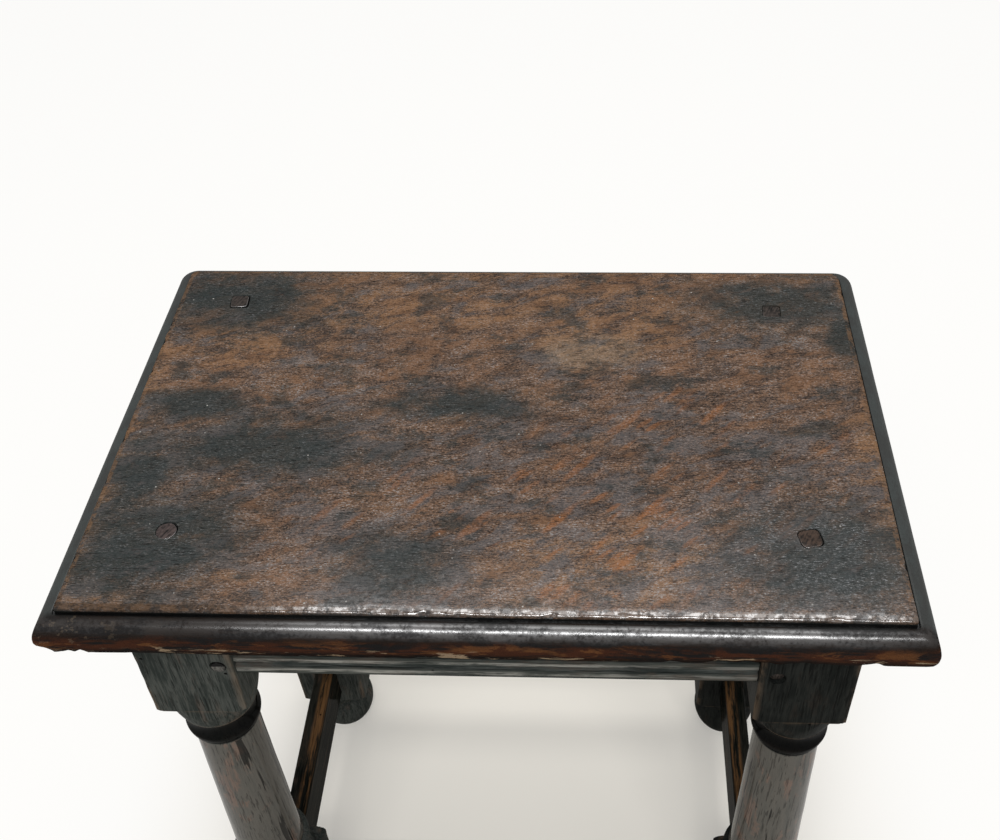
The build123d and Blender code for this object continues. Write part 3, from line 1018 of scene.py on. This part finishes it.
@dataclass
class SeatBoard:
    """Seat: a raised field with worn arrises, a quirk, and a thumb moulding with a chewed edge."""

    width: float = 0.450
    depth: float = 0.298
    top: float = 0.500
    margin: float = 0.012
    arris: float = 0.0036
    arris_drop: float = 0.0013
    quirk_width: float = 0.0013
    quirk_depth: float = 0.005
    thumb_drop: float = 0.004
    nose_drop: float = 0.0175
    undercut: float = 0.006
    thickness: float = 0.026
    cell: float = 0.0021
    front_radii: tuple[float, float] = (0.0010, 0.0034)
    back_radii: tuple[float, float] = (0.0045, 0.0110)
    wear: SeatWear = SeatWear()
    pegs: list[SeatPeg] = field(default_factory=lambda: [
        SeatPeg("front_left", -0.1688, -0.0865, PegShape.ROUND, 0.0108, gap=0.0005,
                top=0.4997, lean=(-0.0003, -0.0003)),
        SeatPeg("front_right", 0.1672, -0.0862, PegShape.FLATTED, 0.0114, gap=0.0005, turn=12,
                lean=(0.0, 0.0003)),
        SeatPeg("back_left", -0.1733, 0.1038, PegShape.SQUARE, 0.0108, gap=0.0007, turn=4,
                top=0.4999, lean=(-0.0005, 0.0006)),
        SeatPeg("back_right", 0.1659, 0.0971, PegShape.SQUARE, 0.0108, turn=-3),
    ])

    def section(self) -> list[tuple[float, float, float, float]]:
        """The rim, from the arris of the field round to the underside.

        Returns:
            Reach outside the field, drop below the top, arris, and painted shade of the quirk's crevice,
            for each station.
        """
        # Arris of the field.
        stations = []
        for step in range(1, 7):
            angle = math.radians(15 * step)
            share = 1.0 if step < 6 else 0.6
            drop = self.arris_drop * (1 - math.cos(angle))
            stations.append((self.arris * (math.sin(angle) - 1), drop, share, 0.0))
        # Quirk, whose walls carry painted shade.
        deep = self.quirk_depth
        quirk = self.quirk_width
        stations += [
            (0.0, 0.55 * deep, 0.0, 0.3), (0.0, 0.85 * deep, 0.0, 1.0), (0.2 * quirk, deep, 0.0, 1.0),
            (0.7 * quirk, deep, 0.0, 1.0), (0.95 * quirk, 0.95 * deep, 0.0, 0.9),
            (quirk, 0.86 * deep, 0.0, 0.3), (1.3 * quirk, 0.815 * deep, 0.0, 0.0),
        ]
        # Thumb moulding, down to its nose.
        reach = self.margin - quirk
        for step in range(3, 31):
            angle = math.radians(3 * step)
            height = (self.nose_drop - self.thumb_drop) * math.cos(angle)
            stations.append((quirk + reach * math.sin(angle), self.nose_drop - height, 0.0, 0.0))
        # Undercut, then the underside.
        under = self.thickness - self.nose_drop
        for step in range(1, 13):
            angle = math.radians(7.5 * step)
            out = self.margin - self.undercut * (1 - math.cos(angle))
            stations.append((out, self.nose_drop + under * math.sin(angle), 0.0, 0.0))
        stations += [(0.002, self.thickness, 0.0, 0.0), (-0.012, self.thickness, 0.0, 0.0)]
        return stations

    def place(self, u: float, v: float, reach: float, drop: float) -> Vector:
        """Place of a rim point.

        Args:
            u: Where it is on its ring, from -1 at the left side to 1 at the right.
            v: The same from the front to the back.
            reach: How far its ring is outside the field.
            drop: How far it is below the top.

        Returns:
            The point.
        """
        half_x = self.width / 2 - self.margin + reach
        half_y = self.depth / 2 - self.margin + reach
        inner, outer = self.back_radii if v > 0 else self.front_radii
        radius = inner + (outer - inner) * max(0.0, reach) / self.margin
        x, y = rounded(u * half_x, v * half_y, half_x, half_y, radius)
        return Vector((x, y, self.top - drop))

    def worn(self, point: Vector, reach: float, drop: float) -> Vector:
        """Wears one point of the new board's shape.

        Args:
            point: The point, unworn.
            reach: How far its ring is outside the field.
            drop: How far it is below the top.

        Returns:
            The worn point.
        """
        x, y, z = point
        wear = self.wear
        lie = wobble(x, y, 0.0, 9) * wear.lie * MM + wobble(x, y, 0.3, 45, 2) * wear.ripple * MM
        if drop < self.arris_drop:
            # The field is a little uneven, and its arris is soft and chipped.
            near = ease(reach, -0.005, 0.0)
            chip = max(0.0, wobble(x, y, 0.7, 95, 3) - 0.34) * wear.chip * MM
            soft = wear.soft * MM * (wobble(x, y, 0.1, 40, 2) - 0.6)
            return Vector((x - math.copysign(chip * near * 0.5, x) * (abs(x) > 0.2),
                           y - math.copysign(chip * near * 0.5, y) * (abs(y) > 0.12),
                           z + min(0.0, lie) + near * (min(0.0, soft) - chip)))
        # The moulding is bruised, and its lower edge is chewed, most of all at the front left.
        nose = ease(drop, self.thumb_drop, self.nose_drop)
        side = Vector((x, y, 0.0))
        outward = Vector((math.copysign(abs(x) > self.width / 2 - 0.020, x),
                          math.copysign(abs(y) > self.depth / 2 - 0.020, y), 0.0))
        sway = wobble(x, y, 0.5, 16, 2) * wear.sway - 0.12
        low = ease(drop, self.nose_drop - 0.003, self.nose_drop + 0.004)
        chew = max(0.0, wobble(x, y, 0.9, 70, 4) + 0.5 * wobble(x, y, 0.2, 18) - 0.10)
        front_left = 1.0 + 1.8 * ease(-x, 0.06, 0.17) * ease(-y, 0.10, 0.14)
        bite = low * chew * front_left * wear.chew * MM
        moved = side + outward * (nose * min(0.0, sway) * MM - 0.6 * bite)
        return Vector((moved.x, moved.y, z + min(bite, wear.deepest * MM)))

    def rim(self, mesh: bmesh.types.BMesh) -> None:
        """Runs the moulding round the field, ring by ring, and closes the underside.

        Args:
            mesh: The board so far, which is the grid of its field.
        """
        along = mesh.verts.layers.float.new("along")
        across = mesh.verts.layers.float.new("across")
        arris = mesh.verts.layers.float.new("arris")
        crevice_shade = mesh.verts.layers.float.new("crevice_shade")
        for vert in mesh.verts:
            vert[along], vert[across] = vert.co.x, vert.co.y
            vert.co = self.worn(self.place(vert.co.x, vert.co.y, -self.arris, 0.0), -self.arris, 0.0)
        ring = [edge for edge in mesh.edges if edge.is_boundary]
        for reach, drop, edge_share, crevice_shade_share in self.section():
            grown = bmesh.ops.extrude_edge_only(mesh, edges=ring)["geom"]
            ring = [item for item in grown if isinstance(item, bmesh.types.BMEdge)]
            for vert in (item for item in grown if isinstance(item, bmesh.types.BMVert)):
                fresh = self.place(vert[along], vert[across], reach, drop)
                vert.co = self.worn(fresh, reach, drop)
                # The crevice mark paints shade into the quirk.
                vert[arris], vert[crevice_shade] = edge_share, crevice_shade_share
        bmesh.ops.contextual_create(mesh, geom=ring)
        # Removing one layer moves the others, so each is looked up when its turn comes.
        for name in ("along", "across"):
            mesh.verts.layers.float.remove(mesh.verts.layers.float[name])

    def build(self, top: bpy.types.Material, edge: bpy.types.Material,
              pegs: dict[str, bpy.types.Material]) -> None:
        """Makes the board and its pegs.

        Args:
            top: Finish of the field.
            edge: Finish of the moulding and the underside.
            pegs: Finish of each peg, by corner.
        """
        mesh = bmesh.new()
        across, deep = round(self.width / self.cell), round(self.depth / self.cell)
        bmesh.ops.create_grid(mesh, x_segments=across, y_segments=deep, size=1.0)
        self.rim(mesh)
        bmesh.ops.recalc_face_normals(mesh, faces=mesh.faces)
        for face in mesh.faces:
            face.material_index = int(face.calc_center_median().z < self.top - self.quirk_depth / 2)
        for peg in self.pegs:
            mesh = cut(mesh, peg.solid(peg.gap, self.top + 0.010))
        board = add_piece("seat_board", mesh, top, "seat_oak", "seat_top")
        board.data.materials.append(edge)
        for peg in self.pegs:
            peg.build(pegs[peg.corner])


# --- Legs -----------------------------------------------------------------------------------------
@dataclass(frozen=True)
class Station:
    """A point of the turning, in millimetres.

    It has a radius, a drop below the leg's top, the swell of the line down to it, and the share of
    wear on its corner.
    """

    radius: float
    drop: float
    swell: float = 0.0
    wear: float = 0.0


@dataclass
class TurnedLeg:
    """One leg, turned off centre from a square billet, so that square blocks melt into the round."""

    end: str
    side: str
    billet: float = 0.055
    axis_x: float = 0.176
    axis_y: dict[str, float] = field(default_factory=lambda: {"front": -0.0807, "back": 0.092})
    rake: float = 2.4
    length: float = 0.474
    lathe_offset: float = 0.002
    steps: int = 144
    band: tuple[float, float] = (0.1340, 0.1580)
    arris: float = 0.0016
    peg_radius: float = 0.0048
    peg_rise: float = 0.0008
    peg_inset: float = 0.008
    hole_depth: float = 0.024
    peg_drops: tuple[float, ...] = (30.0, 67.0, 380.5)
    sunk_peg: tuple[str, str, float] = ("front", "right", 67.0)
    sunk_shift: tuple[float, float] = (2.2, 1.3)
    chip: float = 3.0
    dents: tuple[float, float] = (0.16, 0.05)
    curve_pitch: float = 1.3
    line_pitch: float = 4.0
    corner_gap: float = 0.3
    worn_reach: float = 2.2
    # Upper block, cove and ring, tapering shaft, base ring, lower block, neck and foot.
    stations: tuple[Station, ...] = (
        Station(43.0, -4.0), Station(43.0, 104.0), Station(35.0, 112.0, 1.2, 0.7),
        Station(29.2, 112.0, 0.0, 0.3), Station(24.0, 134.5, 0.4, 1.0), Station(23.0, 134.5),
        Station(23.6, 149.0, -1.6, 0.8), Station(21.0, 156.5, 0.7), Station(21.0, 159.0),
        Station(20.3, 159.0), Station(23.1, 309.0), Station(23.8, 309.0, 0.0, 0.6),
        Station(23.8, 311.5), Station(23.8, 322.0, 3.6), Station(23.0, 322.0),
        Station(23.0, 326.5), Station(24.0, 326.5, 0.0, 0.8), Station(29.2, 350.0, 0.4, 0.3),
        Station(35.0, 350.0, 0.0, 0.7), Station(43.0, 358.0, 1.2), Station(43.0, 407.0),
        Station(35.0, 415.0, 1.2, 0.7), Station(29.2, 415.0, 0.0, 0.3), Station(24.0, 429.0, 0.4, 1.0),
        Station(19.0, 429.0), Station(19.0, 431.5), Station(20.5, 474.0, 7.0, 0.5),
        Station(20.5, 479.0),
    )

    @property
    def fore(self) -> int:
        """Which way the leg's outer face looks: -1 to the front, 1 to the back."""
        return -1 if self.end == "front" else 1

    @property
    def hand(self) -> int:
        """Side that the leg is on: -1 on the left, 1 on the right."""
        return -1 if self.side == "left" else 1

    def outline(self) -> list[Station]:
        """The turning's outline in short steps, with close ones at each corner."""
        points = [self.stations[0]]
        for start, end in zip(self.stations, self.stations[1:]):
            fall, spread = end.drop - start.drop, end.radius - start.radius
            run = math.hypot(fall, spread)
            pitch = self.curve_pitch if end.swell else self.line_pitch
            count = max(2, math.ceil(run / pitch))
            gap, reach = self.corner_gap / run, self.worn_reach / run
            shares = sorted({*(step / count for step in range(1, count + 1)), gap, 1 - gap})
            for share in (s for s in shares if 0 < s <= 1):
                bulge = 4 * end.swell * share * (1 - share) / run
                from_end = ease(share, 1 - reach, 1.0) * end.wear
                near = max(from_end, ease(1 - share, 1 - reach, 1.0) * start.wear)
                points.append(Station(start.radius + spread * share + bulge * fall,
                                      start.drop + fall * share - bulge * spread, 0.0, near))
        return points

    def turn(self) -> bmesh.types.BMesh:
        """Spins the outline and flattens it against the billet's faces."""
        mesh = bmesh.new()
        wear = mesh.verts.layers.float.new("wear")
        band = mesh.verts.layers.float.new("band")
        outline = self.outline()
        chain = [mesh.verts.new((0, 0, -outline[0].drop * MM))]
        for station in outline:
            chain.append(mesh.verts.new((station.radius * MM, 0, -station.drop * MM)))
            chain[-1][wear] = station.wear
        chain.append(mesh.verts.new((0, 0, -outline[-1].drop * MM)))
        edges = [mesh.edges.new(pair) for pair in zip(chain, chain[1:])]
        bmesh.ops.spin(mesh, geom=chain + edges, cent=(0, 0, 0), axis=(0, 0, 1), angle=2 * math.pi,
                       steps=self.steps, use_merge=True)
        half = self.billet / 2
        low, high = self.band
        for vert in mesh.verts:
            x, y = vert.co.x + self.hand * self.lathe_offset, vert.co.y
            over = max(abs(x), abs(y)) / half
            if over > 1:
                # The turning stops at the billet's faces.
                x, y = x / over, y / over
            z = vert.co.z
            radius = self.arris * (1.0 + 0.7 * wobble(x, y, z, 35, 2))
            corner = ease(min(abs(x), abs(y)), half - 3.2 * MM, half - 0.6 * MM)
            if corner > 0 and over >= 1:
                chip = max(0.0, wobble(x, y, z, 70, 3) - 0.30) * self.chip * MM
                x, y = rounded(x, y, half, half, radius + chip)
                vert[wear] = max(vert[wear], corner)
            dent = self.dents[0] * MM * wobble(x, y, z, 30, 2)
            dent += self.dents[1] * MM * wobble(x, y, z, 150, 2)
            out = Vector((x, y, 0)).normalized() if math.hypot(x, y) > MM else Vector((0, 0, 0))
            vert.co = Vector((x, y, z)) + out * dent
            vert[band] = ease(-z, low, low + MM) * ease(z, -high, MM - high)
        bmesh.ops.remove_doubles(mesh, verts=mesh.verts, dist=0.02 * MM)
        bmesh.ops.recalc_face_normals(mesh, faces=mesh.faces)
        return mesh

    def peg_holes(self) -> bmesh.types.BMesh:
        """The holes of the leg's six joint pegs, in the leg's own frame. One peg has drawn back."""
        mesh = bmesh.new()
        half = self.billet / 2
        for drop in self.peg_drops:
            shift, lower = 0.0, 0.0
            if (self.end, self.side, drop) == self.sunk_peg:
                shift, lower = self.sunk_shift[0] * MM, self.sunk_shift[1] * MM + self.peg_rise
            offset = half - self.peg_inset - shift
            height = self.peg_rise - drop * MM
            on_face = Vector((-self.hand * offset, self.fore * half, height - lower))
            on_side = Vector((self.hand * half, -self.fore * (half - self.peg_inset), height))
            for middle, axis in ((on_face, "X"), (on_side, "Y")):
                place = Matrix.Translation(middle) @ Matrix.Rotation(math.pi / 2, 4, axis)
                bmesh.ops.create_cone(mesh, cap_ends=True, segments=40, radius1=self.peg_radius,
                                      radius2=self.peg_radius, depth=self.hole_depth, matrix=place)
        return mesh

    def build(self, material: bpy.types.Material) -> bpy.types.Object:
        """Makes the leg and leans it into place.

        Args:
            material: The leg's finish.

        Returns:
            The piece.
        """
        mesh = cut(self.turn(), self.peg_holes())
        lean = Matrix.Rotation(math.radians(self.fore * self.rake), 4, "X")
        place = Matrix.Translation((self.hand * self.axis_x, self.axis_y[self.end], self.length)) @ lean
        bmesh.ops.transform(mesh, matrix=place, verts=mesh.verts)
        for vert in mesh.verts:
            vert.co.z = min(self.length, max(0.0, vert.co.z))
        name = f"leg_{self.end}_{self.side}"
        return add_piece(f"turned_{name}", mesh, material, "leg_oak", name)


# --- Frame pieces whose solids already have their shape -------------------------------------------
@dataclass
class JoinedFrame:
    """Rails, stretchers and joint pegs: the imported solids, dressed."""

    finishes: dict[str, bpy.types.Material]

    def dress(self, nodes: dict[str, bpy.types.Object]) -> None:
        """Gives each solid the finish of its kind.

        Args:
            nodes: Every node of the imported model, by name.
        """
        for start, material in self.finishes.items():
            dressed = [node for name, node in nodes.items() if name.startswith(start)]
            for node in dressed:
                for slot in node.material_slots:
                    slot.material = material
            LOG.info("%s: %d solids", start, len(dressed))


# --- Studio ---------------------------------------------------------------------------------------
@dataclass
class Softbox:
    """Rectangular studio light."""

    name: str
    place: Triple
    aim: Triple
    size: tuple[float, float]
    power: float

    def build(self) -> None:
        """Hangs the light and points it."""
        light = bpy.data.lights.new(self.name, "AREA")
        light.shape = "RECTANGLE"
        light.size, light.size_y = self.size
        light.energy = self.power
        lamp = bpy.data.objects.new(self.name, light)
        lamp.location = self.place
        lamp.rotation_euler = (Vector(self.aim) - Vector(self.place)).to_track_quat("-Z", "Y").to_euler()
        bpy.context.scene.collection.objects.link(lamp)


@dataclass
class Studio:
    """Pale floor, even light, a softbox overhead, a strip light in front, and the camera."""

    ambient: float = 0.45
    eye: Triple = (0.0554, -0.4643, 0.960)
    pitch: float = 44.8
    yaw: float = -3.14
    roll: float = 1.69
    sensor: float = 36.0
    focal: float = 41.112
    nearest: float = 0.01
    shift: float = -0.05
    floor_reach: float = 6.0
    softboxes: list[Softbox] = field(default_factory=lambda: [
        Softbox("strip_light", (0.06, -1.15, 2.00), (0.05, -0.14, 0.5), (1.3, 0.16), 20.0),
        Softbox("softbox", (0.06, 0.30, 2.40), (0.05, 0.10, 0.5), (1.4, 1.4), 22.0),
    ])

    def camera(self) -> None:
        """Sets up the camera, which looks down at the seat with a little roll."""
        pitch, yaw, roll = (math.radians(angle) for angle in (self.pitch, self.yaw, self.roll))
        ahead = Vector((math.sin(yaw) * math.cos(pitch), math.cos(yaw) * math.cos(pitch), -math.sin(pitch)))
        right = Vector((math.cos(yaw), -math.sin(yaw), 0))
        down = ahead.cross(right)
        local_x = math.cos(roll) * right + math.sin(roll) * down
        local_y = math.sin(roll) * right - math.cos(roll) * down
        turn = Matrix((local_x, local_y, -ahead)).transposed()
        data = bpy.data.cameras.new("camera")
        data.sensor_width = self.sensor
        data.lens = self.focal
        data.shift_x = self.shift
        data.clip_start = self.nearest
        camera = bpy.data.objects.new("camera", data)
        camera.matrix_world = Matrix.Translation(self.eye) @ turn.to_4x4()
        bpy.context.scene.collection.objects.link(camera)
        bpy.context.scene.camera = camera

    def world(self) -> None:
        """Even light from all round, which the camera and the reflections see as white."""
        graph = Graph("studio", world=True)
        strength = self.ambient + (1.0 - self.ambient) * graph.seen()
        light = graph.node("ShaderNodeBackground", None, {"Color": (1.0, 1.0, 1.0), "Strength": strength})
        graph.node("ShaderNodeOutputWorld", None, {"Surface": light.outputs[0]})
        bpy.context.scene.world = graph.owner

    def floor(self) -> None:
        """Lays the floor, an even grid of eight by eight."""
        mesh = bmesh.new()
        bmesh.ops.create_grid(mesh, x_segments=8, y_segments=8, size=self.floor_reach)
        data = bpy.data.meshes.new("floor")
        mesh.to_mesh(data)
        mesh.free()
        data.materials.append(FloorFinish().material())
        floor = bpy.data.objects.new("floor", data)
        bpy.context.scene.collection.objects.link(floor)

    def build(self) -> None:
        """Sets up the whole studio."""
        self.camera()
        self.world()
        self.floor()
        for softbox in self.softboxes:
            softbox.build()
        bpy.context.scene.view_settings.view_transform = "Standard"


def main() -> None:
    """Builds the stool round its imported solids."""
    logging.basicConfig(level=logging.INFO, format="%(name)s: %(message)s")
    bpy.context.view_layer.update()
    Studio().build()
    grey_peg = PegFinish("grey peg", (0.150, 0.145, 0.135)).material()
    red_peg = PegFinish("reddish peg", (0.075, 0.056, 0.052)).material()
    brown_peg = PegFinish("brown peg", (0.062, 0.042, 0.032)).material()
    dark_peg = PegFinish("dark peg", (0.055, 0.044, 0.038)).material()
    SeatBoard().build(SeatFinish().material(), EdgeFinish().material(), {
        "front_left": red_peg, "front_right": brown_peg, "back_left": dark_peg, "back_right": dark_peg,
    })
    leg_finish = LegFinish("leg oak", Grain.UPRIGHT).material()
    for end in ("front", "back"):
        for side in ("left", "right"):
            TurnedLeg(end, side).build(leg_finish)
    rails = RailFinish("rail oak", Grain.ACROSS).material()
    side_rails = RailFinish("side rail oak", Grain.DEEP).material()
    stretchers = StretcherFinish("stretcher oak", Grain.ACROSS).material()
    side_stretchers = StretcherFinish("side stretcher oak", Grain.DEEP).material()
    JoinedFrame({
        "frieze_rail_front": rails, "frieze_rail_back": rails,
        "frieze_rail_left": side_rails, "frieze_rail_right": side_rails,
        "stretcher_front": stretchers, "stretcher_back": stretchers,
        "stretcher_left": side_stretchers, "stretcher_right": side_stretchers,
        "frieze_peg": grey_peg, "stretcher_peg": grey_peg,
        # The sunk peg's end takes the dark finish: painted shade of the hole it sits back in.
        "frieze_peg_front_right_face_lower": dark_peg,
    }).dress(frame["nodes"])


if __name__ == "__main__":
    main()
